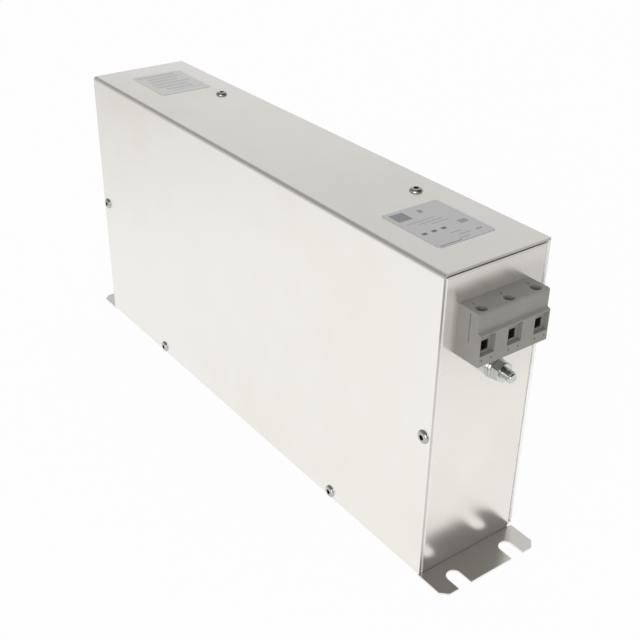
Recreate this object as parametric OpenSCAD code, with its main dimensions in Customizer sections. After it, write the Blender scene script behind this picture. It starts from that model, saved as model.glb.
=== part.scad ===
// Three-phase EMI line filter in a slim folded-steel case.
// X runs along the length, with the line end at +X. The base stands on Z = 0, and Z is up.
// The near long side, at -Y, belongs to the cover. The far one, at +Y, belongs to the chassis.

/* [Case] */
// Length of the case between its two ends
case_l = 282.5; // [275:0.5:295]
// Width of the case and of its flanges
case_w = 55; // [54:0.5:58]
// Height of the case over all
case_h = 144.5; // [142:0.5:150]
// Thickness of the folded sheet steel
sheet_t = 1; // [0.8:0.1:1.2]
// Inside radius of the folds
fold_r = 1; // [0.8:0.1:1.2]
// How far the end panels sit back from the ends of the case
panel_inset = 0.3; // [0.1:0.1:0.6]
// Gap between the end panels and the top sheet
panel_gap = 0.8; // [0.5:0.1:1.2]

/* [Mounting flanges] */
// How far each flange stands out from the case
flange_l = 15.7; // [14:0.1:18]
// Width of the open mounting slots
slot_w = 7; // [5.5:0.1:7.5]
// Distance between the two slots of a flange
slot_pitch = 31; // [28:0.5:34]
// Distance from the case to the round end of a slot
slot_inset = 5.5; // [5:0.1:7]
// Cut at the outer corners of the flanges
flange_cut = 3.2; // [2:0.1:4]

/* [Terminal block] */
// Distance between the poles
pole_pitch = 14.1; // [13.8:0.1:14.3]
// Width of the block
block_w = 36.6; // [36:0.1:38]
// Height of the block's underside
block_z = 108.6; // [106:0.1:110]
// Height of the block
block_h = 21.8; // [21.2:0.1:22]
// How far the lower front stands out from the end panel
block_out = 12.6; // [12:0.1:13]
// How far the upper front stands out from the end panel
fascia_out = 11.1; // [10.8:0.1:11.4]

/* [Earth stud] */
// Diameter of the stud
stud_d = 5; // [4:1:5]
// How far the stud stands out from the end panel
stud_out = 11; // [10.5:0.5:14]
// Across flats of the nut
nut_af = 8; // [7:0.5:9]
// Height of the stud's axis
stud_z = 94.5; // [88:0.5:96]

/* [Rivets] */
// Diameter of the rivet heads
rivet_head_d = 6; // [5.2:0.1:6.4]
// Height of the rivet heads
rivet_head_h = 1.3; // [1:0.1:1.5]
// Diameter of the rivets' shanks
rivet_d = 3; // [2.4:0.1:3.2]

/* [Choke] */
// Outer diameter of the cores
core_d = 72; // [70:0.5:74]
// Inner diameter of the cores
core_bore = 44; // [42:0.5:46]
// Width of the cores along their axis
core_w = 24; // [20:0.5:25]
// Turns in each winding
turns = 9; // [5:1:10]
// Diameter of the winding wire
wire_d = 2.2; // [1.8:0.1:2.4]

/* [Hidden] */

$fn = 48;

// Case
fold_out = sheet_t + fold_r;
inner_y = case_w / 2 - sheet_t;
cover_foot = sheet_t + 0.2;
near_lip_l = case_l - 19.5;
near_lip_h = 10;
top_lip_l = 200;
top_lip_w = 21;
relief_w = 0.9;
relief_l = 2.1;

// Places of the rivets, as distances from the middle of the case
top_rivet = [77.2, 14.7];
side_rivet = [78.3, 4.3];
end_rivet = [137.1, 71.2];

// End panels, seen from outside: u is the distance out from the panel's face
panel_x = case_l / 2 - panel_inset;
panel_top = case_h - sheet_t - panel_gap;
panel_lip = 9;
panel_fold_r = 0.4;
window_w = 33.8;
window_z = [110.3, 129];

// Terminal block
block_y = -0.5;
block_top = block_z + block_h;
ledge_z = block_z + 13.9;
pocket_size = [7.4, 8.3];
pocket_z = block_z + 4.5;
pocket_depth = 2;
entry_size = [4.6, 4.4];
entry_z = block_z + 5.4;
screw_hole_d = 4.5;
screw_u = 7.6;
screw_d = 4;
clamp_size = [4.8, 7, 10.8];
clamp_mouth = [5, 6.2];
clamp_z = block_z + 4;
bar_size = [4, 1.2];
bar_z = clamp_z + 6;
block_back = 15;
bar_back = 19;

// Earth stud
stud_y = 3.9;
stud_under_nut = 6.4;
thread_pitch_d = stud_d - 0.5;
washer_d = 10;
washer_t = 1;
lock_washer_d = 9.2;
lock_washer_t = 1.2;
nut_h = 4;

// Chokes and board
choke_x = 78;
choke_z = 62;
core_mean = (core_d + core_bore) / 4;
core_depth = (core_d - core_bore) / 2;
wire_gap = 0.05;
lead_hole_d = wire_d + 0.1;
winding_span = 96;
board_size = [70, 1.6, 122];
board_y = 18;
board_z = 13;
spacer_at = [31, 54];
film_t = 0.5;
x_cap_size = [32, 27, 18];
y_cap_size = [18, 15, 9];
resistor_l = 12;
resistor_d = 4;

// Turns a flat outline so that it runs along X, with its own x along Y and its y along Z
module along_x(length) rotate([90, 0, 90]) linear_extrude(length, center = true) children();

// Puts what is drawn for the line end, in u, y and z, at one end of the case
module at_end(side) mirror([side < 0 ? 1 : 0, 0, 0]) translate([panel_x, 0, 0]) children();

// Quarter of a fold in the sheet, round the given centre, open towards the quadrant [a, b]
module fold(centre, quadrant, inside_r = fold_r) translate(centre)
    intersection() {
        outside_r = inside_r + sheet_t;
        difference() {
            circle(outside_r);
            circle(inside_r);
        }
        translate([quadrant[0] < 0 ? -outside_r : 0, quadrant[1] < 0 ? -outside_r : 0]) square(outside_r);
    }

// Rectangle between two corners
module span(low, high) translate(low) square(high - low);

// Box between two corners
module block(low, high) translate(low) cube(high - low);

// ---- Case ----

module chassis() color("gainsboro") {
    wall_fold_y = case_w / 2 - fold_out;
    lip_fold_y = -inner_y + fold_out;
    lip_z = case_h - sheet_t;
    difference() {
        union() {
            along_x(case_l) {
                span([lip_fold_y, 0], [wall_fold_y, sheet_t]);
                fold([wall_fold_y, fold_out], [1, -1]);
                span([inner_y, fold_out], [case_w / 2, lip_z - fold_out - 0.5]);
            }
            along_x(near_lip_l) {
                fold([lip_fold_y, fold_out], [-1, -1]);
                span([-inner_y, fold_out], [-inner_y + sheet_t, near_lip_h]);
            }
            along_x(top_lip_l) {
                span([inner_y, fold_out], [case_w / 2, lip_z - fold_out]);
                fold([wall_fold_y, lip_z - fold_out], [1, 1]);
                span([inner_y - top_lip_w, lip_z - sheet_t], [wall_fold_y, lip_z]);
            }
            for (side = [-1, 1]) mirror([side < 0 ? 1 : 0, 0, 0]) {
                flange();
                // Past a relief slit at the end of the lip, the wall stands up to the cover
                block([top_lip_l / 2 + 1.2, inner_y, lip_z - 2 * fold_out], [case_l / 2, case_w / 2, lip_z]);
            }
        }
        for (side = [-1, 1]) mirror([side < 0 ? 1 : 0, 0, 0]) {
            relief_x = case_l / 2 - relief_w;
            block([relief_x, case_w / 2 - relief_l, -1], [relief_x + relief_w, case_w, fold_out + 1]);
            translate([top_rivet[0], top_rivet[1], lip_z])
                cylinder(d = rivet_d, h = 3 * sheet_t, center = true);
            translate([side_rivet[0], -inner_y, side_rivet[1]])
                rotate([90, 0, 0]) cylinder(d = rivet_d, h = 4 * sheet_t, center = true);
            translate([end_rivet[0], inner_y, end_rivet[1]])
                rotate([90, 0, 0]) cylinder(d = rivet_d, h = 4 * sheet_t, center = true);
        }
    }
}

module flange() linear_extrude(sheet_t) difference() {
    end_x = case_l / 2 + flange_l;
    half_w = case_w / 2;
    polygon([
        [case_l / 2 - 1, -half_w], [end_x - flange_cut, -half_w], [end_x, -half_w + flange_cut],
        [end_x, half_w - flange_cut], [end_x - flange_cut, half_w], [case_l / 2 - 1, half_w]
    ]);
    for (i = [-1, 1]) {
        slot_x = case_l / 2 + slot_inset + slot_w / 2;
        translate([slot_x, i * slot_pitch / 2]) circle(d = slot_w);
        span([slot_x, i * slot_pitch / 2 - slot_w / 2], [end_x + 1, i * slot_pitch / 2 + slot_w / 2]);
    }
}

module cover() color("whitesmoke") difference() {
    fold_at = [-case_w / 2 + fold_out, case_h - fold_out];
    along_x(case_l) {
        span([-case_w / 2, cover_foot], [-inner_y, fold_at[1]]);
        fold(fold_at, [-1, 1]);
        span([fold_at[0], case_h - sheet_t], [case_w / 2, case_h]);
    }
    for (side = [-1, 1]) {
        translate([side * top_rivet[0], top_rivet[1], case_h])
            cylinder(d = rivet_d, h = 3 * sheet_t, center = true);
        for (at = [side_rivet, end_rivet]) translate([side * at[0], -inner_y, at[1]])
            rotate([90, 0, 0]) cylinder(d = rivet_d, h = 3 * sheet_t, center = true);
    }
}

// End wall with folded side lips, a window for the block and a hole for the stud
module end_panel(side) color("whitesmoke") at_end(side) difference() {
    fold_u = -sheet_t - panel_fold_r;
    // The side lips stay clear of the case's own folds
    lip_foot = fold_out + 0.1;
    lip_top = case_h - fold_out - 0.1;
    union() {
        translate([0, 0, cover_foot]) linear_extrude(panel_top - cover_foot)
            span([-sheet_t, -inner_y - fold_u], [0, inner_y + fold_u]);
        translate([0, 0, lip_foot]) linear_extrude(lip_top - lip_foot) for (i = [-1, 1]) {
            lip_y = i * (inner_y - sheet_t / 2);
            fold([fold_u, i * (inner_y + fold_u)], [1, i], panel_fold_r);
            span([-panel_lip, lip_y - sheet_t / 2], [fold_u, lip_y + sheet_t / 2]);
        }
    }
    block([-2 * sheet_t, block_y - window_w / 2, window_z[0]], [1, block_y + window_w / 2, window_z[1]]);
    translate([0, stud_y, stud_z]) rotate([0, 90, 0]) cylinder(d = stud_d, h = 4 * sheet_t, center = true);
    translate([end_rivet[0] - panel_x, 0, end_rivet[1]])
        rotate([90, 0, 0]) cylinder(d = rivet_d, h = 2 * case_w, center = true);
}

module line_end_panel() end_panel(1);
module load_end_panel() end_panel(-1);

// ---- Terminal block ----

// Puts its children at each of the three poles
module at_poles() for (pole = [-1:1]) translate([0, block_y + pole * pole_pitch, 0]) children();

module terminal_housing(side) color("darkgray") at_end(side) difference() {
    union() {
        translate([0, block_y + block_w / 2, 0]) rotate([90, 0, 0]) linear_extrude(block_w) polygon([
            [0, block_z], [block_out, block_z], [block_out, ledge_z - 0.5], [fascia_out, ledge_z],
            [fascia_out, block_top - 0.6], [fascia_out - 0.6, block_top], [0, block_top]
        ]);
        block([-block_back, block_y - window_w / 2 + 0.2, window_z[0] + 0.2],
              [1, block_y + window_w / 2 - 0.2, window_z[1] - 0.2]);
    }
    at_poles() {
        block([block_out - pocket_depth, -pocket_size[0] / 2, pocket_z],
              [block_out + 1, pocket_size[0] / 2, pocket_z + pocket_size[1]]);
        block([0, -entry_size[0] / 2, entry_z], [block_out, entry_size[0] / 2, entry_z + entry_size[1]]);
        translate([screw_u, 0, clamp_z + clamp_size[2] - 1]) cylinder(d = screw_hole_d, h = block_h);
        // Pocket of the wire clamp, and the way to the back in which the current bar lies
        block([screw_u - clamp_size[0] / 2 - 0.3, -clamp_size[1] / 2 - 0.3, clamp_z - 0.3],
              [screw_u + clamp_size[0] / 2 + 0.1, clamp_size[1] / 2 + 0.3, clamp_z + clamp_size[2] + 0.4]);
        block([-block_back - 1, -bar_size[0] / 2 - 0.2, bar_z],
              [screw_u, bar_size[0] / 2 + 0.2, bar_z + bar_size[1] + 0.2]);
        // Test points over and under the wire mouth
        translate([3.5, 0, block_top - 1.2]) cylinder(d = 1.1, h = 2);
        for (i = [-1, 1]) translate([block_out - 1, i * 2.5, block_z + 2.5])
            rotate([0, 90, 0]) cylinder(d = 0.9, h = 2);
    }
    for (i = [-1, 1]) translate([6.6, block_y + i * block_w / 2, block_z + 8.3])
        block([-0.25, -0.35, 0], [0.25, 0.35, block_h - 9.8]);
}

module terminal_clamps(side) color("silver") at_end(side) at_poles() difference() {
    translate([screw_u, 0, clamp_z + clamp_size[2] / 2]) cube(clamp_size, center = true);
    block([0, -clamp_mouth[0] / 2, clamp_z + 1],
          [block_out, clamp_mouth[0] / 2, clamp_z + 1 + clamp_mouth[1]]);
    translate([screw_u, 0, clamp_z + 1]) cylinder(d = screw_d, h = block_h);
}

module terminal_screws(side) color("silver") at_end(side) at_poles() {
    screw_foot = bar_z + bar_size[1];
    screw_h = block_top - 2.2 - screw_foot;
    translate([screw_u, 0, screw_foot]) difference() {
        cylinder(d = screw_d, h = screw_h);
        block([-screw_d, -0.5, screw_h - 1.4], [screw_d, 0.5, screw_h + 1]);
    }
}

module terminal_bars(side) color("goldenrod") at_end(side) at_poles() difference() {
    block([-bar_back, -bar_size[0] / 2, bar_z],
          [screw_u + clamp_size[0] / 2 - 0.4, bar_size[0] / 2, bar_z + bar_size[1]]);
    translate([-bar_back + 2, 0, bar_z - 1]) cylinder(d = lead_hole_d, h = 4);
}

module line_terminal_housing() terminal_housing(1);
module load_terminal_housing() terminal_housing(-1);
module line_terminal_clamps() terminal_clamps(1);
module load_terminal_clamps() terminal_clamps(-1);
module line_terminal_screws() terminal_screws(1);
module load_terminal_screws() terminal_screws(-1);
module line_terminal_bars() terminal_bars(1);
module load_terminal_bars() terminal_bars(-1);

// ---- Earth stud ----

module on_stud_axis(side, u) at_end(side) translate([u, stud_y, stud_z]) rotate([0, 90, 0]) children();

// Pressed in from behind. Its thread is drawn at the pitch diameter where the nut and washers sit.
module earth_stud(side) color("silver") {
    on_stud_axis(side, -2.4) cylinder(d = 8.4, h = 1.4);
    on_stud_axis(side, -sheet_t) cylinder(d = stud_d, h = sheet_t);
    on_stud_axis(side, 0) cylinder(d = thread_pitch_d, h = stud_under_nut);
    on_stud_axis(side, stud_under_nut) cylinder(d = stud_d, h = stud_out - stud_under_nut - 0.6);
    on_stud_axis(side, stud_out - 0.6) cylinder(d1 = stud_d, d2 = stud_d - 1.2, h = 0.6);
}

module earth_washer(side) color("silver") on_stud_axis(side, 0) ring(washer_d, washer_t);

module earth_lock_washer(side) color("silver") on_stud_axis(side, washer_t) difference() {
    ring(lock_washer_d, lock_washer_t);
    rotate(20) translate([0, 0, -1]) linear_extrude(lock_washer_t + 2) span([0, -0.5], [washer_d, 0.5]);
}

module earth_nut(side) color("silver") on_stud_axis(side, washer_t + lock_washer_t) difference() {
    intersection() {
        cylinder(d = nut_af / cos(30), h = nut_h, $fn = 6);
        // The corners are chamfered on both faces
        union() {
            cylinder(d1 = nut_af, d2 = nut_af + 2, h = 0.6);
            translate([0, 0, 0.6]) cylinder(d = nut_af + 2, h = nut_h - 1.2);
            translate([0, 0, nut_h - 0.6]) cylinder(d1 = nut_af + 2, d2 = nut_af, h = 0.6);
        }
    }
    translate([0, 0, -1]) cylinder(d = thread_pitch_d, h = nut_h + 2);
}

module ring(outer_d, thickness) difference() {
    cylinder(d = outer_d, h = thickness);
    translate([0, 0, -1]) cylinder(d = stud_d + 0.3, h = thickness + 2);
}

module line_earth_stud() earth_stud(1);
module load_earth_stud() earth_stud(-1);
module line_earth_washer() earth_washer(1);
module load_earth_washer() earth_washer(-1);
module line_earth_lock_washer() earth_lock_washer(1);
module load_earth_lock_washer() earth_lock_washer(-1);
module line_earth_nut() earth_nut(1);
module load_earth_nut() earth_nut(-1);

// ---- Rivets and labels ----

// Blind rivet standing on Z = 0, through a grip of two sheets, with its mandrel broken off in the head
module rivet() {
    rim_h = 0.25;
    dome_r = (pow(rivet_head_d / 2, 2) + pow(rivet_head_h - rim_h, 2)) / (2 * (rivet_head_h - rim_h));
    difference() {
        rotate_extrude() union() {
            span([0, 0], [rivet_head_d / 2, rim_h]);
            intersection() {
                translate([0, rivet_head_h - dome_r]) circle(dome_r);
                span([0, rim_h], [rivet_head_d / 2, rivet_head_h]);
            }
        }
        translate([0, 0, 0.4]) cylinder(d = 1.9, h = rivet_head_h);
    }
    translate([0, 0, -2 * sheet_t]) cylinder(d = rivet_d, h = 2 * sheet_t);
    translate([0, 0, -2 * sheet_t - 2.4]) cylinder(d1 = 2.8, d2 = 3.5, h = 2.4);
}

module top_rivets() color("silver")
    for (side = [-1, 1]) translate([side * top_rivet[0], top_rivet[1], case_h]) rivet();

module side_rivets() color("silver")
    for (side = [-1, 1]) translate([side * side_rivet[0], -case_w / 2, side_rivet[1]])
        rotate([90, 0, 0]) rivet();

module end_rivets() color("silver")
    for (side = [-1, 1], wall = [-1, 1])
        translate([side * end_rivet[0], wall * case_w / 2, end_rivet[1]]) rotate([-90 * wall, 0, 0]) rivet();

module label(centre, size, turn) translate([centre[0], centre[1], case_h])
    rotate(turn) linear_extrude(0.1) square(size, center = true);

module rating_label() color("silver") label([106.7, 0.4], [35, 29.6], 0);
module connection_label() color("lightgray") label([-108.8, 2.4], [35, 29], -1.5);

// ---- Chokes ----

module at_choke(side) mirror([side < 0 ? 1 : 0, 0, 0]) translate([choke_x, 0, choke_z]) children();

module choke_core(side) color("dimgray") at_choke(side) rotate([90, 0, 0]) rotate_extrude() {
    cut = 1.5;
    half_w = core_w / 2;
    polygon([
        [core_bore / 2, -half_w + cut], [core_bore / 2 + cut, -half_w], [core_d / 2 - cut, -half_w],
        [core_d / 2, -half_w + cut], [core_d / 2, half_w - cut], [core_d / 2 - cut, half_w],
        [core_bore / 2 + cut, half_w], [core_bore / 2, half_w - cut]
    ]);
}

// Three arms that keep the windings apart inside the core
module choke_divider(side) color("ivory") at_choke(side) rotate([90, 0, 0]) {
    arm_t = 2.2;
    for (arm = [0:2]) rotate(arm * 120 + 90)
        block([0, -arm_t / 2, -core_w / 2], [core_bore / 2 - 0.05, arm_t / 2, core_w / 2]);
    cylinder(d = 6, h = core_w, center = true);
}

module choke_cradle(side) color("ivory") at_choke(side) {
    seat_r = core_d / 2 + wire_gap + wire_d + 0.05;
    floor_z = sheet_t + film_t - choke_z;
    difference() {
        block([-24, -inner_y + 4, floor_z], [24, inner_y - 4, -24]);
        rotate([90, 0, 0]) cylinder(r = seat_r, h = 3 * core_w, center = true);
        block([-12, -inner_y, floor_z + 2.5], [12, inner_y, -20]);
    }
}

// Centre line of one turn: distance from the core's middle radius, and place along its axis
function turn_section() = let (
        a = core_depth / 2 + wire_gap + wire_d / 2,
        b = core_w / 2 + wire_gap + wire_d / 2,
        c = 1.9
    ) [
        [a, -b + c], [a, b - c], [a - c, b], [-a + c, b],
        [-a, b - c], [-a, -b + c], [-a + c, -b], [a - c, -b]
    ];

function turn_point(angle, at) = [(core_mean + at[0]) * cos(angle), at[1], (core_mean + at[0]) * sin(angle)];

// Centre line of a winding about the direction middle_angle, with its leads before and after
function winding_path(middle_angle, lead_in, lead_out) = let (
        section = turn_section(),
        steps = turns * len(section)
    ) concat(
        lead_in,
        [for (i = [0:steps])
            turn_point(middle_angle + winding_span * (i / steps - 0.5), section[i % len(section)])],
        lead_out
    );

// Round wire swept along a path, as one closed shell
module wire(path, sides = 6) {
    count = len(path);
    function unit(v) = v / norm(v);
    function tangent(i) = unit(path[min(i + 1, count - 1)] - path[max(i - 1, 0)]);
    // Each ring's side direction is the last one, turned square to the new tangent
    function side_on(v, t) = unit(v - (v * t) * t);
    sides_along = [for (
        i = 0, v = side_on([0.3, 0.2, 1], tangent(0));
        i < count;
        i = i + 1, v = i < count ? side_on(v, tangent(i)) : v
    ) v];
    rings = [for (i = [0:count - 1], k = [0:sides - 1]) let (
        v = sides_along[i],
        w = cross(tangent(i), v),
        angle = 360 * k / sides
    ) path[i] + wire_d / 2 * (cos(angle) * v + sin(angle) * w)];
    walls = [for (i = [0:count - 2], k = [0:sides - 1]) let (n = (k + 1) % sides)
        [i * sides + k, i * sides + n, (i + 1) * sides + n, (i + 1) * sides + k]];
    first_cap = [for (k = [sides - 1:-1:0]) k];
    last_cap = [for (k = [0:sides - 1]) (count - 1) * sides + k];
    polyhedron(rings, concat([first_cap], walls, [last_cap]));
}

// Leads of each phase, seen from the choke's centre. They start in the hole of a terminal bar, or in
// the board, and end next to the winding. The third winding is laid the other way round.
bar_hole_x = panel_x - bar_back + 2 - choke_x;
bar_hole_z = bar_z + bar_size[1] + 1 - choke_z;
board_hole_x = board_size[0] / 2 - 3 - choke_x;
board_hole_y = board_y + board_size[1] + 1;
board_hole_z = [50, -14, -33];

function lead_from_bar(phase) = let (y = block_y + (phase - 1) * pole_pitch)
    concat([[bar_hole_x, y, bar_hole_z], [bar_hole_x, y, bar_hole_z - 10]], [
        [[45, -16, 22], [41, -16, -6]],
        [[36, -3, 45], [12, -8, 43], [0, -13, 41]],
        [[47, 14, 20], [46, 6, -14], [36, -10, -28]]
    ][phase]);

function lead_from_board(phase) = concat(
    [[board_hole_x, board_hole_y, board_hole_z[phase]], [board_hole_x, board_y - 5, board_hole_z[phase]]], [
        [[-28, 9, 48], [-8, 3, 46], [5, -6, 42]],
        [[-46, 0, -15], [-41, -9, -14]],
        [[-46, -2, -33], [-37, -11, -31]]
    ][phase]
);

function reversed(list) = [for (i = [len(list) - 1:-1:0]) list[i]];

module winding(side, phase) color("chocolate") at_choke(side) {
    middle_angle = 30 + 120 * phase;
    first_lead = phase == 2 ? lead_from_board(phase) : lead_from_bar(phase);
    last_lead = phase == 2 ? lead_from_bar(phase) : lead_from_board(phase);
    wire(winding_path(middle_angle, first_lead, reversed(last_lead)));
}

module line_choke_core() choke_core(1);
module load_choke_core() choke_core(-1);
module line_choke_divider() choke_divider(1);
module load_choke_divider() choke_divider(-1);
module line_choke_cradle() choke_cradle(1);
module load_choke_cradle() choke_cradle(-1);
module line_winding_l1() winding(1, 0);
module line_winding_l2() winding(1, 1);
module line_winding_l3() winding(1, 2);
module load_winding_l1() winding(-1, 0);
module load_winding_l2() winding(-1, 1);
module load_winding_l3() winding(-1, 2);

// ---- Capacitor board ----

module capacitor_board() color("darkgreen") difference() {
    translate([-board_size[0] / 2, board_y, board_z]) cube(board_size);
    at_spacers() cylinder(d = 3, h = 20, center = true);
    for (side = [-1, 1], z = board_hole_z) translate([side * (choke_x + board_hole_x), board_y, choke_z + z])
        rotate([90, 0, 0]) cylinder(d = lead_hole_d, h = 8, center = true);
}

// Puts its children on the four fixing axes, with +Z out of the chassis wall towards the board
module at_spacers() for (i = [-1, 1], k = [0, 1])
    translate([i * spacer_at[0], board_y + board_size[1], board_z + 7 + k * 2 * spacer_at[1]])
        rotate([90, 0, 0]) children();

module board_spacers() color("goldenrod") at_spacers() translate([0, 0, -(inner_y - board_y - board_size[1])])
    difference() {
        cylinder(d = 6 / cos(30), h = inner_y - board_y - board_size[1], $fn = 6);
        translate([0, 0, -1]) cylinder(d = 3, h = 20);
    }

module board_screws() color("silver") at_spacers() {
    translate([0, 0, board_size[1]]) cylinder(d = 5.5, h = 2);
    translate([0, 0, -4]) cylinder(d = 3, h = 4 + board_size[1]);
}

module x_capacitors() color("gold") for (i = [0:2])
    translate([-x_cap_size[0] / 2, board_y - x_cap_size[1], board_z + 14 + i * 21]) cube(x_cap_size);

module y_capacitors() color("royalblue") for (i = [-1:1])
    translate([i * 21 - y_cap_size[0] / 2, board_y - y_cap_size[1], board_z + 79]) cube(y_cap_size);

module discharge_resistors() color("burlywood") for (i = [-1:1])
    translate([i * 21 - resistor_l / 2, board_y - resistor_d / 2, board_z + 99])
        rotate([0, 90, 0]) cylinder(d = resistor_d, h = resistor_l);

// Film folded along the base and up the far wall, with holes for the spacers
module insulating_liner() color("white") difference() {
    film_top = board_z + board_size[2];
    along_x(250) polygon([
        [-inner_y + 2.5, sheet_t], [inner_y - fold_r, sheet_t], [inner_y, fold_out], [inner_y, film_top],
        [inner_y - film_t, film_top], [inner_y - film_t, fold_out + 0.2],
        [inner_y - fold_r - 0.2, sheet_t + film_t], [-inner_y + 2.5, sheet_t + film_t]
    ]);
    at_spacers() cylinder(d = 7.5, h = 40, center = true);
}

chassis();
cover();
line_end_panel();
load_end_panel();
line_terminal_housing();
line_terminal_clamps();
line_terminal_screws();
line_terminal_bars();
load_terminal_housing();
load_terminal_clamps();
load_terminal_screws();
load_terminal_bars();
line_earth_stud();
line_earth_washer();
line_earth_lock_washer();
line_earth_nut();
load_earth_stud();
load_earth_washer();
load_earth_lock_washer();
load_earth_nut();
top_rivets();
side_rivets();
end_rivets();
rating_label();
connection_label();
line_choke_core();
line_choke_divider();
line_choke_cradle();
line_winding_l1();
line_winding_l2();
line_winding_l3();
load_choke_core();
load_choke_divider();
load_choke_cradle();
load_winding_l1();
load_winding_l2();
load_winding_l3();
capacitor_board();
x_capacitors();
y_capacitors();
discharge_resistors();
board_spacers();
board_screws();
insulating_liner();
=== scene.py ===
import math

import bpy
from mathutils import Matrix, Vector


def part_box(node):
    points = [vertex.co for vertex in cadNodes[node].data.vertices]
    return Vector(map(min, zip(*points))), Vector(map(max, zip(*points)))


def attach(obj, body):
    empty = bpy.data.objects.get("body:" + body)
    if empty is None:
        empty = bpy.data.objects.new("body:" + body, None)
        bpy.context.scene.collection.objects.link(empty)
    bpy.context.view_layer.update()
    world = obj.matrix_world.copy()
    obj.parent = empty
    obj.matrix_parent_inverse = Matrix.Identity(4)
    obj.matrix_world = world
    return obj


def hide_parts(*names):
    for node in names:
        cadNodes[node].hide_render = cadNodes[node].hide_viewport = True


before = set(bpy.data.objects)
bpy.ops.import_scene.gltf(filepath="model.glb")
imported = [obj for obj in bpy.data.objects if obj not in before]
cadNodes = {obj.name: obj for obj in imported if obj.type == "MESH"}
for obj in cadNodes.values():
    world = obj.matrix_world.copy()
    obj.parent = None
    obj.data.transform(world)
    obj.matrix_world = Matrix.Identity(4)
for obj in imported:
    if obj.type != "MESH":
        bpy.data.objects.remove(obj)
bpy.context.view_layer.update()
mm = 0.001
print("frame loaded:", len(cadNodes), "nodes")


def pick(*pieces):
    if bpy.context.object and bpy.context.object.mode != "OBJECT":
        bpy.ops.object.mode_set(mode="OBJECT")
    bpy.ops.object.select_all(action="DESELECT")
    for piece in pieces:
        piece.select_set(True)
    bpy.context.view_layer.objects.active = pieces[0]


def applyModifiers(piece):
    pick(piece)
    for modifier in list(piece.modifiers):
        bpy.ops.object.modifier_apply(modifier=modifier.name)


def settle(piece, matrix):  # moves a finished piece, and leaves its object at the origin
    piece.matrix_world = matrix
    pick(piece)
    bpy.ops.object.transform_apply(location=True, rotation=True, scale=True)


def faceOutwards(piece):
    pick(piece)
    bpy.ops.object.mode_set(mode="EDIT")
    bpy.ops.mesh.select_all(action="SELECT")
    bpy.ops.mesh.normals_make_consistent(inside=False)
    bpy.ops.object.mode_set(mode="OBJECT")


def smoothBy(piece, degrees):
    pick(piece)
    bpy.ops.object.shade_smooth_by_angle(angle=math.radians(degrees))


def turned(name, rings, sides):  # rings are (radius, height), from the foot up, round Z
    radius, height = rings[0]
    bpy.ops.mesh.primitive_circle_add(
        vertices=sides, radius=radius, fill_type="NGON", location=(0, 0, height))
    piece = bpy.context.object
    piece.name = name
    bpy.ops.object.mode_set(mode="EDIT")
    bpy.ops.mesh.select_all(action="SELECT")
    for nextRadius, nextHeight in rings[1:]:
        rise = (0, 0, nextHeight - height)
        bpy.ops.mesh.extrude_region_move(TRANSFORM_OT_translate={"value": rise})
        grow = nextRadius / radius
        bpy.ops.transform.resize(value=(grow, grow, 1), center_override=(0, 0, nextHeight))
        radius, height = nextRadius, nextHeight
    bpy.ops.object.mode_set(mode="OBJECT")
    settle(piece, piece.matrix_world.copy())
    faceOutwards(piece)
    return piece


def copyPiece(piece, name):
    twin = bpy.data.objects.new(name, piece.data.copy())
    bpy.context.scene.collection.objects.link(twin)
    return twin


def joined(name, pieces):
    pick(*pieces)
    bpy.ops.object.join()
    pieces[0].name = name
    return pieces[0]


# Rounds upright edges; chosen tells by an edge's middle whether it is meant
def roundUprights(piece, radius, chosen):
    pick(piece)
    bpy.ops.object.mode_set(mode="EDIT")
    bpy.ops.mesh.select_mode(type="EDGE")
    bpy.ops.mesh.select_all(action="DESELECT")
    bpy.ops.object.mode_set(mode="OBJECT")
    points = piece.data.vertices
    for edge in piece.data.edges:
        foot, head = (points[i].co for i in edge.vertices)
        edge.select = abs(foot.z - head.z) > 0.05 * mm and chosen((foot + head) / 2)
    bpy.ops.object.mode_set(mode="EDIT")
    bpy.ops.mesh.bevel(offset=radius, segments=5, profile=0.5, affect="EDGES")
    bpy.ops.mesh.select_mode(type="VERT")
    bpy.ops.object.mode_set(mode="OBJECT")


# A CAD node's form with its sharp edges broken; prepare shapes the copy before that
def refined(node, name, width, corner=35, smooth=30, prepare=None):
    piece = copyPiece(cadNodes[node], name)
    pick(piece)
    bpy.ops.object.mode_set(mode="EDIT")
    bpy.ops.mesh.select_all(action="SELECT")
    bpy.ops.mesh.remove_doubles(threshold=2e-6)
    bpy.ops.mesh.dissolve_limited(angle_limit=math.radians(0.2))
    bpy.ops.object.mode_set(mode="OBJECT")
    if prepare:
        prepare(piece)
    if width:
        bevel = piece.modifiers.new("brokenEdges", "BEVEL")
        bevel.width = width
        bevel.segments = 2
        bevel.limit_method = "ANGLE"
        bevel.angle_limit = math.radians(corner)
        bevel.use_clamp_overlap = True
        bevel.miter_outer = "MITER_ARC"
        applyModifiers(piece)
    smoothBy(piece, smooth)
    weighted = piece.modifiers.new("flatFaces", "WEIGHTED_NORMAL")
    weighted.keep_sharp = True
    applyModifiers(piece)
    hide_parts(node)
    return piece


def dress(piece, material):
    piece.data.materials.clear()
    piece.data.materials.append(material)
    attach(piece, "root")


def addNode(tree, kind, **settings):
    node = tree.nodes.new(kind)
    for key, value in settings.items():
        setattr(node, key, value)
    return node


def feed(tree, value, socket):  # a socket is linked, anything else is set
    if isinstance(value, bpy.types.NodeSocket):
        tree.links.new(value, socket)
    else:
        socket.default_value = value


def maths(tree, operation, *values, clamp=False):
    node = addNode(tree, "ShaderNodeMath", operation=operation, use_clamp=clamp)
    for value, socket in zip(values, node.inputs):
        feed(tree, value, socket)
    return node.outputs[0]


def vectorMaths(tree, operation, *values):
    node = addNode(tree, "ShaderNodeVectorMath", operation=operation)
    for value, socket in zip(values, node.inputs):
        feed(tree, value, socket)
    return node.outputs["Value" if operation in ("DOT_PRODUCT", "LENGTH") else "Vector"]


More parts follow.
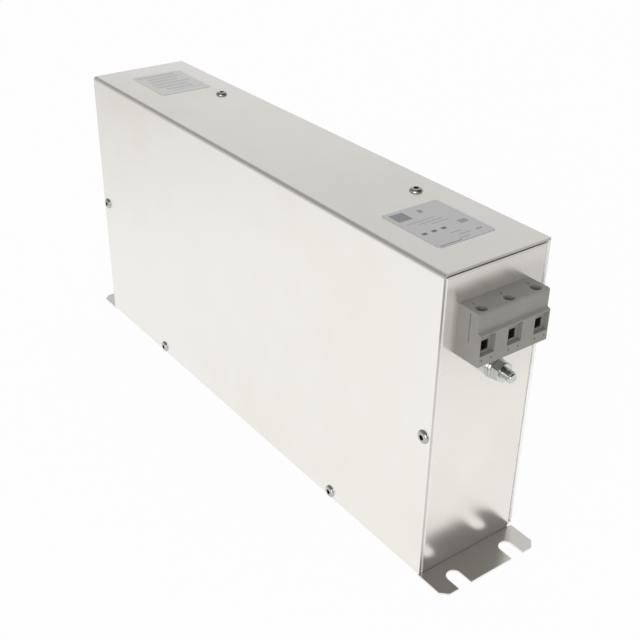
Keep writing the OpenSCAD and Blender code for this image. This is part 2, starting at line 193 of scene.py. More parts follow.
def noise(tree, vector, scale, detail=2.0, roughness=0.5):
    node = addNode(tree, "ShaderNodeTexNoise")
    feed(tree, vector, node.inputs["Vector"])
    feed(tree, scale, node.inputs["Scale"])
    node.inputs["Detail"].default_value = detail
    node.inputs["Roughness"].default_value = roughness
    return node.outputs["Fac"]


def ramp(tree, value, low, high, outLow=0.0, outHigh=1.0, kind="SMOOTHSTEP"):
    node = addNode(tree, "ShaderNodeMapRange", interpolation_type=kind)
    settings = {"Value": value, "From Min": low, "From Max": high, "To Min": outLow, "To Max": outHigh}
    for key, setting in settings.items():
        feed(tree, setting, node.inputs[key])
    return node.outputs["Result"]


def slope(tree, value, low, high, outLow, outHigh):  # a straight ramp
    return ramp(tree, value, low, high, outLow, outHigh, "LINEAR")


def spread(tree, tone, low, high):  # a noise's tone is mostly between 0.3 and 0.7
    return ramp(tree, tone, 0.3, 0.7, low, high)


def blendColours(tree, mask, low, high):  # sockets 6, 7 and 2 are the ones for colours
    node = addNode(tree, "ShaderNodeMix", data_type="RGBA")
    feed(tree, mask, node.inputs[0])
    feed(tree, low, node.inputs[6])
    feed(tree, high, node.inputs[7])
    return node.outputs[2]


def dimmed(colour, *amounts):  # one amount for all three channels, or one for each
    if len(amounts) == 1:
        amounts *= 3
    return tuple(part * amount for part, amount in zip(colour, amounts)) + (1,)


def objectPlace(tree):
    return addNode(tree, "ShaderNodeTexCoord").outputs["Object"]


def newGroup(name, inputs, outputs):  # inputs are (name, kind, value), outputs are (name, kind)
    group = bpy.data.node_groups.new(name, "ShaderNodeTree")
    for socketName, kind, value in inputs:
        socket = group.interface.new_socket(name=socketName, in_out="INPUT", socket_type="NodeSocket" + kind)
        if kind == "Float":
            socket.default_value = value
    for socketName, kind in outputs:
        group.interface.new_socket(name=socketName, in_out="OUTPUT", socket_type="NodeSocket" + kind)
    return group, addNode(group, "NodeGroupInput").outputs, addNode(group, "NodeGroupOutput").inputs


def placeGroup(tree, group, **values):
    node = addNode(tree, "ShaderNodeGroup", node_tree=group)
    for key, value in values.items():
        feed(tree, value, node.inputs[key])
    return node.outputs


def newMaterial(name, **settings):  # settings are plain values on the shader's own sockets
    material = bpy.data.materials.new(name)
    material.use_nodes = True
    tree = material.node_tree
    shader = tree.nodes["Principled BSDF"]
    for key, value in settings.items():
        shader.inputs[key].default_value = value
    return material, tree, shader.inputs


def addBump(tree, height, distance, socket):  # a bump on the shader's normal
    bump = addNode(tree, "ShaderNodeBump")
    bump.inputs["Distance"].default_value = distance
    feed(tree, height, bump.inputs["Height"])
    tree.links.new(bump.outputs["Normal"], socket)


def buildRolledGrain():  # fine lines left by rolling, along X
    group, given, result = newGroup(
        "rolledGrain",
        [("Place", "Vector", None), ("Lines", "Float", 2600.0), ("Stretch", "Float", 0.03)],
        [("Tone", "Float")])
    along = addNode(group, "ShaderNodeCombineXYZ")
    feed(group, given["Stretch"], along.inputs[0])
    along.inputs[1].default_value = 1.0
    along.inputs[2].default_value = 1.0
    stretched = vectorMaths(group, "MULTIPLY", given["Place"], along.outputs[0])
    feed(group, noise(group, stretched, given["Lines"], 3.0, 0.6), result["Tone"])
    return group


def buildSmudges():  # soft uneven patches, 0 where clean and 1 where stained
    group, given, result = newGroup(
        "smudges",
        [("Place", "Vector", None), ("Scale", "Float", 20.0), ("Amount", "Float", 0.5)],
        [("Mask", "Float")])
    wide = noise(group, given["Place"], given["Scale"], 3.0, 0.55)
    finer = noise(group, given["Place"], maths(group, "MULTIPLY", given["Scale"], 5.0), 2.0)
    both = maths(group, "ADD", maths(group, "MULTIPLY", wide, 0.75), maths(group, "MULTIPLY", finer, 0.25))
    edge = maths(group, "SUBTRACT", 0.8, maths(group, "MULTIPLY", given["Amount"], 0.5))
    begin = maths(group, "SUBTRACT", edge, 0.15)
    full = maths(group, "ADD", edge, 0.1)
    feed(group, ramp(group, both, begin, full), result["Mask"])
    return group


def buildWorkedAndLitEdge():  # 1 where a sheet was cut or bent, past From along an axis and above a height; at the chassis wall's ends and the panels' folds the strip also carries painted light over the shaded groove
    group, given, result = newGroup(
        "workedAndLitEdge",
        [("Place", "Vector", None), ("Axis", "Vector", None),
         ("From", "Float", 0.0), ("Above", "Float", 0.0)],
        [("Mask", "Float")])
    split = addNode(group, "ShaderNodeSeparateXYZ")
    feed(group, given["Place"], split.inputs[0])
    along = maths(group, "ABSOLUTE", vectorMaths(group, "DOT_PRODUCT", given["Place"], given["Axis"]))
    past = maths(group, "GREATER_THAN", along, given["From"])
    above = maths(group, "GREATER_THAN", split.outputs[2], given["Above"])
    feed(group, maths(group, "MULTIPLY", past, above), result["Mask"])
    return group


def buildPaintedLightNearBlock():  # 1 on an end panel beside the terminal block, and over it, fading under the panel's top: where the mirror drops for a painted lightening of the block's reflection and shade
    group, given, result = newGroup(
        "paintedLightNearBlock",
        [("Place", "Vector", None)] + [(key, "Float", 0.0) for key in ("Side", "Foot", "Head", "Top")],
        [("Mask", "Float")])
    split = addNode(group, "ShaderNodeSeparateXYZ")
    feed(group, given["Place"], split.inputs[0])
    height = split.outputs[2]
    fromSide = maths(group, "SUBTRACT", given["Side"], split.outputs[1])
    fromFoot = maths(group, "SUBTRACT", height, given["Foot"])
    fromHead = maths(group, "SUBTRACT", height, given["Head"])
    underTop = maths(group, "SUBTRACT", given["Top"], height)
    beside = maths(
        group, "MULTIPLY", ramp(group, fromSide, 0.5 * mm, 3.5 * mm), ramp(group, fromFoot, -8 * mm, 0.0))
    over = ramp(group, fromHead, 2 * mm, 9 * mm)
    fading = ramp(group, underTop, 0.3 * mm, 1.5 * mm)
    feed(group, maths(group, "MULTIPLY", maths(group, "MAXIMUM", beside, over), fading), result["Mask"])
    return group


def buildPrintField():  # a soft-edged printed rectangle, seen from above
    group, given, result = newGroup(
        "printField",
        [("Place", "Vector", None)] + [(key, "Float", 0.001) for key in ("X", "Y", "HalfX", "HalfY", "Ink")],
        [("Mask", "Float")])
    split = addNode(group, "ShaderNodeSeparateXYZ")
    feed(group, given["Place"], split.inputs[0])
    blur = 0.06 * mm
    inside = []
    for axis, centre, half in ((0, "X", "HalfX"), (1, "Y", "HalfY")):
        offset = maths(group, "ABSOLUTE", maths(group, "SUBTRACT", split.outputs[axis], given[centre]))
        inside.append(ramp(group, maths(group, "SUBTRACT", given[half], offset), -blur, blur))
    feed(group, maths(group, "MULTIPLY", maths(group, "MULTIPLY", *inside), given["Ink"]), result["Mask"])
    return group


rolledGrain = buildRolledGrain()
smudges = buildSmudges()
workedAndLitEdge = buildWorkedAndLitEdge()
paintedLightNearBlock = buildPaintedLightNearBlock()
printField = buildPrintField()


# Haze is how much of the light the matt crystals in the tin scatter. On the end panels the mirror drops
# further beside the terminal block and over it: a painted lightening of the block's dark reflection and its
# shade there. The strip is where the sheet was cut or bent: it starts past a distance along an axis, above a
# height, and has its own tone, haze and added roughness. On the cover's cut edge its darker tone is the bare
# steel; at the chassis wall's ends and the end panels' folds its lighter tone and haze are painted light over
# the shaded groove between panel and wall, and on the folds the haze also stands for tin gone matt from
# bending.
sheets = {
    "chassis": {
        "piece": "foldedChassis", "edge": 0.14 * mm, "tin": (0.905, 0.882, 0.838, 1), "haze": 0.08,
        # on the far wall's ends: the near-white tone and haze are painted light, lifting the shade in the
        # groove there
        "workedAndLit": {
            "axis": (1, 0, 0), "from": 139.9 * mm, "above": 4 * mm,
            "tone": (0.97, 0.97, 0.96, 1), "haze": 0.4, "dull": 0.0}},
    "cover": {
        "piece": "foldedCover", "edge": 0.08 * mm, "tin": (0.9, 0.877, 0.831, 1), "haze": 0.15,
        "workedAndLit": {
            "axis": (1, 0, 0), "from": 141.13 * mm, "above": 0,
            "tone": (0.72, 0.69, 0.65, 1), "haze": 0.0, "dull": 0.22}},
}
for end in ("line", "load"):
    sheets[end + "_end_panel"] = {
        "piece": end + "EndPanel", "edge": 0.12 * mm, "tin": (0.87, 0.835, 0.785, 1), "haze": 0.2,
        # how much the mirror drops beside the terminal block and over it: a painted lightening of the block's
        # dark reflection and shade
        "film": 0.35,
        # on the folds: the lighter tone and haze paint light into the shaded groove and soften the fold's
        # highlight; the haze also stands for tin gone matt from bending
        "workedAndLit": {
            "axis": (0, 1, 0), "from": 25.3 * mm, "above": 0,
            "tone": (0.93, 0.92, 0.9, 1), "haze": 0.4, "dull": 0.06}}

tinPlate = {
    "roughness": 0.24,
    "uneven": 0.02,  # the roughness's swing from place to place
    "unevenScale": 45.0,
    "lined": 0.008,  # and its swing from line to line
    "stainScale": 9.0,
    "stainAmount": 0.42,
    "stainWeight": 0.35,
    "stainTint": (0.93, 0.9, 0.84),
    "wave": 0.05 * mm,  # how far the sheet is out of flat
    "waveScale": 22.0,
    "lineHeight": 0.0015,  # of the rolled lines, as a share of the wave
    "wallEnd": 0.45 * mm,  # radius of the deburred inner edges of the far wall
}


def makeTinnedSteel(name, sheet):
    material, tree, shader = newMaterial(name)
    workedAndLit = sheet["workedAndLit"]
    place = objectPlace(tree)
    stain = placeGroup(
        tree, smudges, Place=place, Scale=tinPlate["stainScale"], Amount=tinPlate["stainAmount"])["Mask"]
    grain = placeGroup(tree, rolledGrain, Place=place)["Tone"]
    strip = placeGroup(
        tree, workedAndLitEdge, Place=place, Axis=workedAndLit["axis"],
        From=workedAndLit["from"], Above=workedAndLit["above"])["Mask"]
    stained = maths(tree, "MULTIPLY", stain, tinPlate["stainWeight"])
    tin = blendColours(tree, stained, sheet["tin"], dimmed(sheet["tin"], *tinPlate["stainTint"]))
    # the strip's tone: bare steel on the cover's cut edge, a lighter painted light over the shaded groove on
    # the chassis and the end panels
    feed(tree, blendColours(tree, strip, tin, workedAndLit["tone"]), shader["Base Color"])
    mirror = maths(tree, "SUBTRACT", 1.0 - sheet["haze"], maths(tree, "MULTIPLY", strip, workedAndLit["haze"]))
    # painted lightening: less mirror beside the terminal block and over it, so the block's dark reflection
    # and shade read lighter
    if "film" in sheet:
        low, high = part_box("line_terminal_housing")
        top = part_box("line_end_panel")[1].z
        film = placeGroup(tree, paintedLightNearBlock, Place=place, Side=low.y, Foot=low.z, Head=high.z, Top=top)["Mask"]
        mirror = maths(tree, "SUBTRACT", mirror, maths(tree, "MULTIPLY", film, sheet["film"]))
    feed(tree, mirror, shader["Metallic"])
    roughness, uneven, lined = tinPlate["roughness"], tinPlate["uneven"], tinPlate["lined"]
    patches = noise(tree, place, tinPlate["unevenScale"], 4.0)
    rough = spread(tree, patches, roughness - uneven, roughness + uneven)
    rough = maths(tree, "ADD", rough, spread(tree, grain, -lined, lined))
    rough = maths(tree, "ADD", rough, maths(tree, "MULTIPLY", strip, workedAndLit["dull"]))
    feed(tree, rough, shader["Roughness"])
    wave = noise(tree, place, tinPlate["waveScale"], 1.0)
    height = maths(tree, "ADD", wave, maths(tree, "MULTIPLY", grain, tinPlate["lineHeight"]))
    addBump(tree, height, tinPlate["wave"], shader["Normal"])
    return material


turnedMetal = {
    "lines": 5200.0,
    "marks": 0.004 * mm,  # depth of the tool marks
    "smoother": 0.05,
    "rougher": 0.07,
    "stainScale": 260.0,
    "stainWeight": 0.5,
    "stainTone": 0.72,
}


def makeTurnedSteel(name, colour, roughness):
    material, tree, shader = newMaterial(name, Metallic=1.0)
    place = objectPlace(tree)
    grain = placeGroup(tree, rolledGrain, Place=place, Lines=turnedMetal["lines"], Stretch=1.0)["Tone"]
    stain = placeGroup(tree, smudges, Place=place, Scale=turnedMetal["stainScale"])["Mask"]
    stained = maths(tree, "MULTIPLY", stain, turnedMetal["stainWeight"])
    stainColour = dimmed(colour, turnedMetal["stainTone"])
    feed(tree, blendColours(tree, stained, colour, stainColour), shader["Base Color"])
    smoothest, roughest = roughness - turnedMetal["smoother"], roughness + turnedMetal["rougher"]
    feed(tree, spread(tree, grain, smoothest, roughest), shader["Roughness"])
    addBump(tree, grain, turnedMetal["marks"], shader["Normal"])
    return material


mouldedPlastic = {
    "sparkScale": 5200.0,  # the spark-eroded texture of the mould
    "sparkDepth": 0.01 * mm,
    "smoother": 0.05,
    "rougher": 0.08,
    "cloudScale": 90.0,
    "cloudAmount": 0.6,
    "cloudWeight": 0.4,
    "cloudTone": 0.86,
}


def makeMouldedPlastic(name, colour, roughness):
    material, tree, shader = newMaterial(name)
    place = objectPlace(tree)
    cloud = placeGroup(
        tree, smudges, Place=place,
        Scale=mouldedPlastic["cloudScale"], Amount=mouldedPlastic["cloudAmount"])["Mask"]
    clouded = maths(tree, "MULTIPLY", cloud, mouldedPlastic["cloudWeight"])
    cloudColour = dimmed(colour, mouldedPlastic["cloudTone"])
    feed(tree, blendColours(tree, clouded, colour, cloudColour), shader["Base Color"])
    texture = noise(tree, place, mouldedPlastic["sparkScale"])
    smoothest, roughest = roughness - mouldedPlastic["smoother"], roughness + mouldedPlastic["rougher"]
    feed(tree, spread(tree, texture, smoothest, roughest), shader["Roughness"])
    addBump(tree, texture, mouldedPlastic["sparkDepth"], shader["Normal"])
    return material


def softenWallEnds(piece):  # the deburred inner edges at both ends of the far wall
    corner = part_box("cover")[1]
    inner = corner.y - 1 * mm
    near = 0.05 * mm
    roundUprights(
        piece, tinPlate["wallEnd"],
        lambda middle: abs(abs(middle.x) - corner.x) < near and abs(middle.y - inner) < near)


def buildCase():
    for node, sheet in sheets.items():
        prepare = softenWallEnds if node == "chassis" else None
        piece = refined(node, sheet["piece"], sheet["edge"], prepare=prepare)
        dress(piece, makeTinnedSteel(sheet["piece"] + "Steel", sheet))
    print("case sheets done")


terminalBlock = {
    "housing": {
        "piece": "TerminalHousing", "edge": 0.22 * mm, "slot": "terminal_plastic",
        "finish": ("terminalPlastic", (0.293, 0.284, 0.255, 1), 0.42)},
    "clamps": {
        "piece": "WireCages", "edge": 0.15 * mm, "slot": "clamp_steel",
        "finish": ("cageSteel", (0.55, 0.55, 0.53, 1), 0.34)},
    "screws": {
        "piece": "ClampScrews", "edge": 0.15 * mm, "slot": "screw_steel",
        "finish": ("screwSteel", (0.50, 0.50, 0.49, 1), 0.34)},
    "bars": {
        "piece": "CurrentBars", "edge": 0.12 * mm, "slot": "contact_brass",
        "finish": ("barMetal", (0.72, 0.68, 0.58, 1), 0.35)},
}


def buildTerminals():
    materials = {}
    for part, form in terminalBlock.items():
        make = makeMouldedPlastic if part == "housing" else makeTurnedSteel
        materials[part] = make(*form["finish"])
    for end in ("line", "load"):
        for part, form in terminalBlock.items():
            piece = refined(f"{end}_terminal_{part}", end + form["piece"], form["edge"])
            dress(piece, materials[part])
    print("terminal blocks done")


earthStud = {
    "radius": 2.5 * mm,
    "headRadius": 4.2 * mm,
    "headFrom": -2.4 * mm,  # places along the stud are out from the panel's face
    "headTo": -1.0 * mm,
    "root": 2.04 * mm,
    "pitch": 0.8 * mm,
    "threadFrom": 5.2 * mm,
    "turns": 6,
    "out": 11.0 * mm,
    "tip": 0.7 * mm,
    "steps": 40,
    "zinc": (0.66, 0.70, 0.68, 1),
    "roughness": 0.15,
    "edges": {"washer": 0.12 * mm, "lock_washer": 0.15 * mm, "nut": 0.08 * mm},
}


def buildStudThread():
    pitch, crest = earthStud["pitch"], earthStud["radius"]
    sunk = earthStud["root"] - 0.15 * mm  # the ridge starts a little inside the core
    bpy.ops.mesh.primitive_circle_add(vertices=4, radius=pitch / 2, fill_type="NOTHING")
    thread = bpy.context.object
    thread.name = "studThread"
    ridge = [(sunk, 0), (crest, 0.36 * pitch), (crest, 0.5 * pitch), (sunk, 0.86 * pitch)]
    for vertex, (radius, height) in zip(thread.data.vertices, ridge):
        vertex.co = (radius, 0, earthStud["threadFrom"] + height)
    helix = thread.modifiers.new("helix", "SCREW")
    helix.screw_offset = pitch
    helix.iterations = earthStud["turns"]
    helix.steps = earthStud["steps"]
    helix.render_steps = earthStud["steps"]
    applyModifiers(thread)
    bpy.ops.object.mode_set(mode="EDIT")
    bpy.ops.mesh.select_all(action="DESELECT")
    bpy.ops.mesh.select_non_manifold(extend=False)
    bpy.ops.mesh.edge_face_add()
    bpy.ops.mesh.select_all(action="SELECT")
    bpy.ops.mesh.normals_make_consistent(inside=False)
    bpy.ops.object.mode_set(mode="OBJECT")
    tipFrom = earthStud["out"] - earthStud["tip"]
    for vertex in thread.data.vertices:  # the chamfer at the tip cuts the last turn down
        reach = crest - max(0, vertex.co.z - tipFrom) * 0.9
        radius = math.hypot(vertex.co.x, vertex.co.y)
        if radius > reach:
            vertex.co.x *= reach / radius
            vertex.co.y *= reach / radius
    return thread


def buildStudCore():
    radius, root, out = earthStud["radius"], earthStud["root"], earthStud["out"]
    headRadius, headTo = earthStud["headRadius"], earthStud["headTo"]
    return turned("studCore", [
        (headRadius, earthStud["headFrom"]), (headRadius, headTo), (radius, headTo),
        (radius - 0.05 * mm, 0.2 * mm), (root, 0.3 * mm), (root, out - 0.45 * mm),
        (root - 0.22 * mm, out - 0.08 * mm), (root - 0.34 * mm, out), (0.2 * mm, out - 0.04 * mm)], sides=40)


def buildEarthStuds():
    zinc = makeTurnedSteel("zincPlate", earthStud["zinc"], earthStud["roughness"])
    for end, side in (("line", 1), ("load", -1)):
        low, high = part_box(end + "_earth_stud")
        washerLow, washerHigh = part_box(end + "_earth_washer")
        face = washerLow.x if side > 0 else washerHigh.x  # the end panel's outer face
        stud = joined(end + "EarthStud", [buildStudCore(), buildStudThread()])
        centre = Vector((face, (low.y + high.y) / 2, (low.z + high.z) / 2))
        settle(stud, Matrix.Translation(centre) @ Matrix.Rotation(side * math.pi / 2, 4, "Y"))
        smoothBy(stud, 35)
        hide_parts(end + "_earth_stud")
        dress(stud, zinc)
        for part, width in earthStud["edges"].items():
            name = end + "Earth" + part.title().replace("_", "")
            fastener = refined(f"{end}_earth_{part}", name, width, corner=50, smooth=25)
            dress(fastener, zinc)
    print("earth studs done")


rivet = {
    "radius": 3.0 * mm,
    "height": 1.3 * mm,
    "rim": 0.25 * mm,
    "bore": 1.15 * mm,
    "stubDepth": 1.05 * mm,  # how deep in the bore the mandrel broke off
    "domeSteps": 9,
    "steel": (0.55, 0.54, 0.52, 1),
    # near-black painted shade for the bottom of the bore, laid on the mandrel's stub
    "mandrel": (0.09, 0.085, 0.08, 1),
}


def buildRivetHead():
    radius, height, rim, bore = rivet["radius"], rivet["height"], rivet["rim"], rivet["bore"]
    lip = bore + 0.18 * mm
    stub = height - rivet["stubDepth"]
    rings = [(radius - 0.08 * mm, 0), (radius, 0.06 * mm), (radius, rim)]
    for i in range(1, rivet["domeSteps"] + 1):  # the dome, from the rim to the lip of the bore
        angle = i / rivet["domeSteps"] * math.pi / 2
        across = lip + (radius - 0.05 * mm - lip) * math.cos(angle)
        rings.append((across, rim + (height - rim) * math.sin(angle)))
    rings += [(bore + 0.08 * mm, height - 0.02 * mm), (bore, height - 0.1 * mm), (bore, stub)]
    rings += [(bore - 0.12 * mm, stub), (0.5 * bore, height - 0.75 * rivet["stubDepth"]),
              (0.12 * bore, height - 0.8 * rivet["stubDepth"])]
    head = turned("rivetHead", rings, sides=48)
    smoothBy(head, 40)
    head.data.materials.append(makeTurnedSteel("rivetSteel", rivet["steel"], 0.19))
    head.data.materials.append(makeTurnedSteel("mandrelSteel", rivet["mandrel"], 0.5))
    for face in head.data.polygons:  # the faces down in the bore, on what is left of the mandrel, take the near-black painted shade
        inBore = math.hypot(*face.center[:2]) < bore + 0.01 * mm
        face.material_index = int(inBore and face.center.z > 0.1 * mm)
    return head


def rivetSeats(kind):  # the turn and the foot of each head in a group
    low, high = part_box(kind + "_rivets")
    middle = (low + high) / 2
    top = (Matrix.Identity(4), middle.y, high.z - rivet["height"])
    nearSide = (Matrix.Rotation(math.pi / 2, 4, "X"), low.y + rivet["height"], middle.z)
    farSide = (Matrix.Rotation(-math.pi / 2, 4, "X"), high.y - rivet["height"], middle.z)
    walls = {"top": [top], "side": [nearSide], "end": [nearSide, farSide]}[kind]
    reach = high.x - rivet["radius"]
    return [(turn, Vector((side * reach, y, z))) for side in (-1, 1) for turn, y, z in walls]


def buildRivets():
    model = buildRivetHead()
    for kind in ("top", "side", "end"):
        heads = []
        for turn, foot in rivetSeats(kind):
            head = copyPiece(model, "rivet")
            settle(head, Matrix.Translation(foot) @ turn)
            heads.append(head)
        row = joined(kind + "Rivets", heads)
        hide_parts(kind + "_rivets")
        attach(row, "root")
    bpy.data.objects.remove(model)
    print("rivets done")


# Printed fields: place from the label's centre along X and Y, half sizes, in mm, and strength of the ink
ratingPrint = [(-11.9, -9.1, 3.5, 3.5, 0.6), (-12.2, 1.2, 1.3, 1.0, 0.55)]
ratingPrint += [(-5.0 + 2.2 * row, -4.6 + 3.2 * row, 0.28, 7.0 - 1.2 * row, 0.35) for row in range(3)]
ratingPrint += [(4.9, -11.2 + 4.9 * i, 0.9, 1.2, 0.8) for i in range(3)]
ratingPrint += [(3.9, 9.6, 1.5, 2.2, 0.45)]
ratingPrint += [(9.9 + 2.6 * row, 0.2 + 2.5 * (row % 2), 0.3, 2.8, 0.4) for row in range(3)]
ratingPrint += [(16.4, -8.0, 0.3, 5.6, 0.7), (12.6, 9.9, 0.5, 1.6, 0.5)]
connectionPrint = [
    (-14.0 + 4.6 * row, -1.5 + 1.8 * (row % 2), 1.3, 11.0 - 1.6 * (row % 3), 0.28) for row in range(6)]
connectionPrint += [(12.5, 3.0, 0.5, 9.0, 0.3)]

labels = {
    "rating_label": {
        "piece": "ratingLabel", "slot": "label_foil", "material": "ratingFoil", "roughness": 0.38,
        "foil": (0.68, 0.68, 0.69, 1), "ink": (0.09, 0.09, 0.095, 1), "print": ratingPrint},
    "connection_label": {
        "piece": "connectionLabel", "slot": "label_film", "material": "connectionFoil", "roughness": 0.36,
        "foil": (0.80, 0.80, 0.79, 1), "ink": (0.3, 0.3, 0.3, 1), "print": connectionPrint},
}
labelStock = {
    "corner": 1.2 * mm,
    "metal": 0.75,  # share of the foil that mirrors, where nothing is printed
    "inkCover": 0.6,  # how much of that the ink takes away
    "inkDull": 0.15,
    "uneven": 0.04,
    "grainScale": 3000.0,
    "grainWeight": 0.25,
    "grainTone": 0.9,
    "wave": 0.04 * mm,
    "waveScale": 120.0,
}


def makeLabelFoil(node, label):
    material, tree, shader = newMaterial(label["material"])
    place = objectPlace(tree)
    low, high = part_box(node)
    centre = (low + high) / 2
    printed = 0.0
    for x, y, halfX, halfY, strength in label["print"]:
        field = placeGroup(
            tree, printField, Place=place, X=centre.x + x * mm, Y=centre.y + y * mm,
            HalfX=halfX * mm, HalfY=halfY * mm, Ink=strength)["Mask"]
        printed = maths(tree, "MAXIMUM", printed, field)
    grain = noise(tree, place, labelStock["grainScale"])
    grained = maths(tree, "MULTIPLY", grain, labelStock["grainWeight"])
    foil = blendColours(tree, grained, label["foil"], dimmed(label["foil"], labelStock["grainTone"]))
    feed(tree, blendColours(tree, printed, foil, label["ink"]), shader["Base Color"])
    smoothest, roughest = label["roughness"] - labelStock["uneven"], label["roughness"] + labelStock["uneven"]
    rough = ramp(tree, grain, 0.2, 0.8, smoothest, roughest)
    rough = maths(tree, "ADD", rough, maths(tree, "MULTIPLY", printed, labelStock["inkDull"]))
    feed(tree, rough, shader["Roughness"])
    covered = maths(tree, "MULTIPLY", printed, labelStock["inkCover"])
    feed(tree, maths(tree, "SUBTRACT", labelStock["metal"], covered), shader["Metallic"])
    wave = noise(tree, place, labelStock["waveScale"], 1.0)
    addBump(tree, wave, labelStock["wave"], shader["Normal"])
    return material


def roundLabel(piece):
    roundUprights(piece, labelStock["corner"], lambda middle: True)


def buildLabels():
    for node, label in labels.items():
        piece = refined(node, label["piece"], 0, prepare=roundLabel)
        dress(piece, makeLabelFoil(node, label))
    print("labels done")


windingWire = {
    "enamel": (0.56, 0.2, 0.06, 1),
    "darker": (0.42, 0.13, 0.04, 1),
    "patchScale": 120.0,
    "patchAmount": 0.6,
    "metal": 0.85,
    "varnish": 0.6,
    "smoothest": 0.22,
    "roughest": 0.34,
    "roughScale": 900.0,
}


def makeEnamelledCopper():
    material, tree, shader = newMaterial("enamelledCopper", Metallic=windingWire["metal"])
    place = objectPlace(tree)
    patch = placeGroup(
        tree, smudges, Place=place,
        Scale=windingWire["patchScale"], Amount=windingWire["patchAmount"])["Mask"]
    colour = blendColours(tree, patch, windingWire["enamel"], windingWire["darker"])
    feed(tree, colour, shader["Base Color"])
    tone = noise(tree, place, windingWire["roughScale"])
    rough = spread(tree, tone, windingWire["smoothest"], windingWire["roughest"])
    feed(tree, rough, shader["Roughness"])
    shader["Coat Weight"].default_value = windingWire["varnish"]
    return material


board = {
    "resin": (0.015, 0.13, 0.05, 1),
    "glass": (0.04, 0.24, 0.1, 1),
    "weaveScale": 2400.0,
    "weaveDepth": 0.01 * mm,
    "smoothest": 0.3,
    "roughest": 0.42,
}


def makeBoardLaminate():
    material, tree, shader = newMaterial("boardLaminate")
    place = objectPlace(tree)
    grain = placeGroup(tree, rolledGrain, Place=place)["Tone"]
    weave = maths(tree, "MULTIPLY", noise(tree, place, board["weaveScale"]), grain)
    feed(tree, blendColours(tree, weave, board["resin"], board["glass"]), shader["Base Color"])
    feed(tree, ramp(tree, weave, 0.1, 0.4, board["smoothest"], board["roughest"]), shader["Roughness"])
    addBump(tree, weave, board["weaveDepth"], shader["Normal"])
    return material


# Each finish of the inner parts: how it is made, colour, roughness, and the parts that have it
insideFinishes = {
    "coreCoating": (makeMouldedPlastic, (0.05, 0.065, 0.09, 1), 0.35, ["choke_core"]),
    "naturalNylon": (makeMouldedPlastic, (0.68, 0.66, 0.58, 1), 0.45, ["choke_divider", "choke_cradle"]),
    "linerFilm": (makeMouldedPlastic, (0.8, 0.8, 0.77, 1), 0.3, ["insulating_liner"]),
    "capacitorYellow": (makeMouldedPlastic, (0.72, 0.52, 0.06, 1), 0.38, ["x_capacitors"]),
    "capacitorBlue": (makeMouldedPlastic, (0.05, 0.12, 0.4, 1), 0.38, ["y_capacitors"]),
    "resistorLacquer": (makeMouldedPlastic, (0.56, 0.45, 0.3, 1), 0.35, ["discharge_resistors"]),
    "spacerBrass": (makeTurnedSteel, (0.72, 0.52, 0.22, 1), 0.25, ["board_spacers"]),
    "boardScrewSteel": (makeTurnedSteel, (0.55, 0.55, 0.54, 1), 0.28, ["board_screws"]),
}


def buildInside():
    materials = dict.fromkeys(("winding_l1", "winding_l2", "winding_l3"), makeEnamelledCopper())
    materials["capacitor_board"] = makeBoardLaminate()
    for name, (make, colour, roughness, parts) in insideFinishes.items():
        materials.update(dict.fromkeys(parts, make(name, colour, roughness)))
    for node, piece in cadNodes.items():
        part = node.removeprefix("line_").removeprefix("load_")
        if part in materials:
            piece.data.materials.clear()
            piece.data.materials.append(materials[part])
    print("inside done")


def blendLevels(tree, mask, low, high):
    return maths(tree, "ADD", low, maths(tree, "MULTIPLY", mask, maths(tree, "SUBTRACT", high, low)))


def grey(tree, level):
    colour = addNode(tree, "ShaderNodeCombineColor")
    for socket in colour.inputs:
        feed(tree, level, socket)
    return colour.outputs[0]


room = {
    "behind": (0.95, 0.60),  # brightness of the room's far side, at the horizon and halfway up
    "before": (0.60, 0.24),  # the same for the camera's side
    "between": (-0.15, 0.5),  # where one side turns into the other, across the room
    "soft": (0.95, 0.58),  # the plain light on matt surfaces, at the horizon and overhead
    # a dark stretch that only gloss shows: direction, brightness, and the cosines where it begins and is full
    "dark": ((0.52, 0.52, 0.68), 0.02, 0.62, 0.93),
}


def buildWorld():
    world = bpy.data.worlds.new("studio")
    bpy.context.scene.world = world
    world.use_nodes = True
    tree = world.node_tree
    background = tree.nodes["Background"]
    direction = vectorMaths(tree, "NORMALIZE", addNode(tree, "ShaderNodeTexCoord").outputs["Generated"])
    split = addNode(tree, "ShaderNodeSeparateXYZ")
    feed(tree, direction, split.inputs[0])
    across, up = split.outputs[1], split.outputs[2]
    behind = slope(tree, up, 0.1, 0.5, *room["behind"])
    before = slope(tree, up, 0.0, 0.5, *room["before"])
    level = blendLevels(tree, ramp(tree, across, *room["between"], 1.0, 0.0), behind, before)
    towards, darkness, begin, full = room["dark"]
    facing = vectorMaths(tree, "DOT_PRODUCT", direction, Vector(towards).normalized())
    level = blendLevels(tree, ramp(tree, facing, begin, full), level, darkness)
    path = addNode(tree, "ShaderNodeLightPath").outputs
    level = blendLevels(tree, path["Is Diffuse Ray"], level, slope(tree, up, 0.0, 1.0, *room["soft"]))
    level = maths(tree, "MAXIMUM", level, path["Is Camera Ray"])
    feed(tree, grey(tree, level), background.inputs["Color"])
    background.inputs["Strength"].default_value = 1.0


floorSheet = {
    "size": 8.0,
    "under": 0.3 * mm,  # how far it lies under the base
    "tone": (0.9, 0.9, 0.9, 1),
    "plain": 0.96,  # how much of the plain white covers the shadow
    "fall": (0.2, 1.0, 1.0, 0.58),  # distances from the middle, in m, and the brightness mirrored at each
    # a duller stretch past the line end: direction, distances where it begins and is full, and level
    "dull": ((0.8, 0.6, 0.0), 0.24, 0.42, 0.6),
}


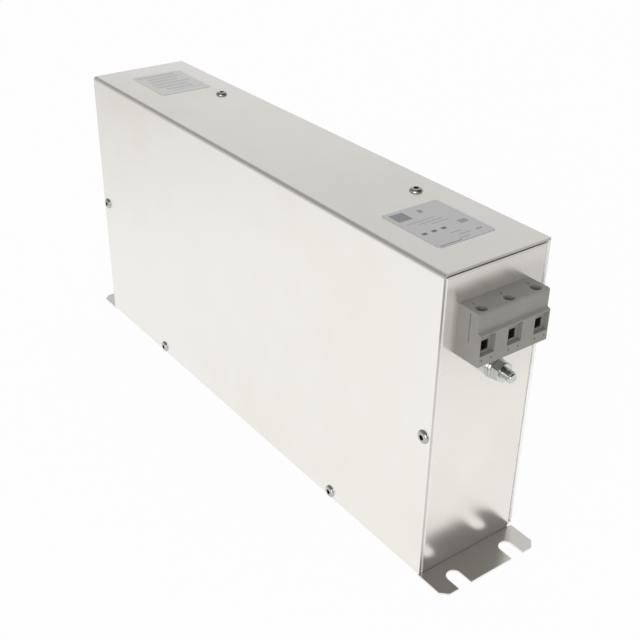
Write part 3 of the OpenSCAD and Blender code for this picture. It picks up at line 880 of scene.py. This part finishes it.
def buildFloor():
    bpy.ops.mesh.primitive_plane_add(size=floorSheet["size"], location=(0, 0, -floorSheet["under"]))
    floor = bpy.context.object
    floor.name = "floor"
    settle(floor, floor.matrix_world.copy())
    material = bpy.data.materials.new("paleFloor")
    material.use_nodes = True
    tree = material.node_tree
    tree.nodes.remove(tree.nodes["Principled BSDF"])
    lit = addNode(tree, "ShaderNodeBsdfDiffuse")
    lit.inputs["Color"].default_value = floorSheet["tone"]
    plain = addNode(tree, "ShaderNodeEmission")
    place = objectPlace(tree)
    path = addNode(tree, "ShaderNodeLightPath").outputs
    falling = slope(tree, vectorMaths(tree, "LENGTH", place), *floorSheet["fall"])
    towards, begin, full, dullness = floorSheet["dull"]
    past = vectorMaths(tree, "DOT_PRODUCT", place, Vector(towards))
    falling = maths(tree, "MULTIPLY", falling, ramp(tree, past, begin, full, 1.0, dullness))
    bright = maths(tree, "MAXIMUM", falling, path["Is Camera Ray"])
    feed(tree, grey(tree, bright), plain.inputs["Color"])
    shown = maths(tree, "ADD", path["Is Camera Ray"], path["Is Glossy Ray"])
    shown = maths(tree, "ADD", shown, path["Is Transmission Ray"], clamp=True)
    mix = addNode(tree, "ShaderNodeMixShader")
    feed(tree, maths(tree, "MULTIPLY", shown, floorSheet["plain"]), mix.inputs[0])
    tree.links.new(lit.outputs[0], mix.inputs[1])
    tree.links.new(plain.outputs[0], mix.inputs[2])
    tree.links.new(mix.outputs[0], tree.nodes["Material Output"].inputs["Surface"])
    floor.data.materials.append(material)


nearWindow = {
    "place": (0.9, -1.4, 0.55),
    "aim": (0, 0, 0.08),
    "size": (1.1, 0.8),
    "power": 8,
}


def addLamp(name, lamp):
    data = bpy.data.lights.new(name, "AREA")
    data.shape = "RECTANGLE"
    data.size, data.size_y = lamp["size"]
    data.energy = lamp["power"]
    holder = bpy.data.objects.new(name, data)
    bpy.context.scene.collection.objects.link(holder)
    holder.location = lamp["place"]
    towards = Vector(lamp["aim"]) - Vector(lamp["place"])
    holder.rotation_euler = towards.to_track_quat("-Z", "Y").to_euler()


def buildStudio():
    buildWorld()
    buildFloor()
    addLamp("nearWindow", nearWindow)
    print("studio done")


camera = {
    "place": (0.37535, -0.25812, 0.31431),
    "tilt": 59.87,
    "heading": 53.11,
    "roll": 1.04,
    "lens": 58.18,
}


def buildCamera():
    data = bpy.data.cameras.new("camera")
    data.lens = camera["lens"]
    data.sensor_width = 36.0
    data.clip_start = 0.01
    holder = bpy.data.objects.new("camera", data)
    bpy.context.scene.collection.objects.link(holder)
    heading = Matrix.Rotation(math.radians(camera["heading"]), 4, "Z")
    tilt = Matrix.Rotation(math.radians(camera["tilt"]), 4, "X")
    roll = Matrix.Rotation(math.radians(camera["roll"]), 4, "Z")
    holder.matrix_world = Matrix.Translation(camera["place"]) @ heading @ tilt @ roll
    bpy.context.scene.camera = holder
    bpy.context.scene.view_settings.view_transform = "Standard"
    print("camera done")


buildCamera()
buildCase()
buildTerminals()
buildEarthStuds()
buildRivets()
buildLabels()
buildInside()
buildStudio()
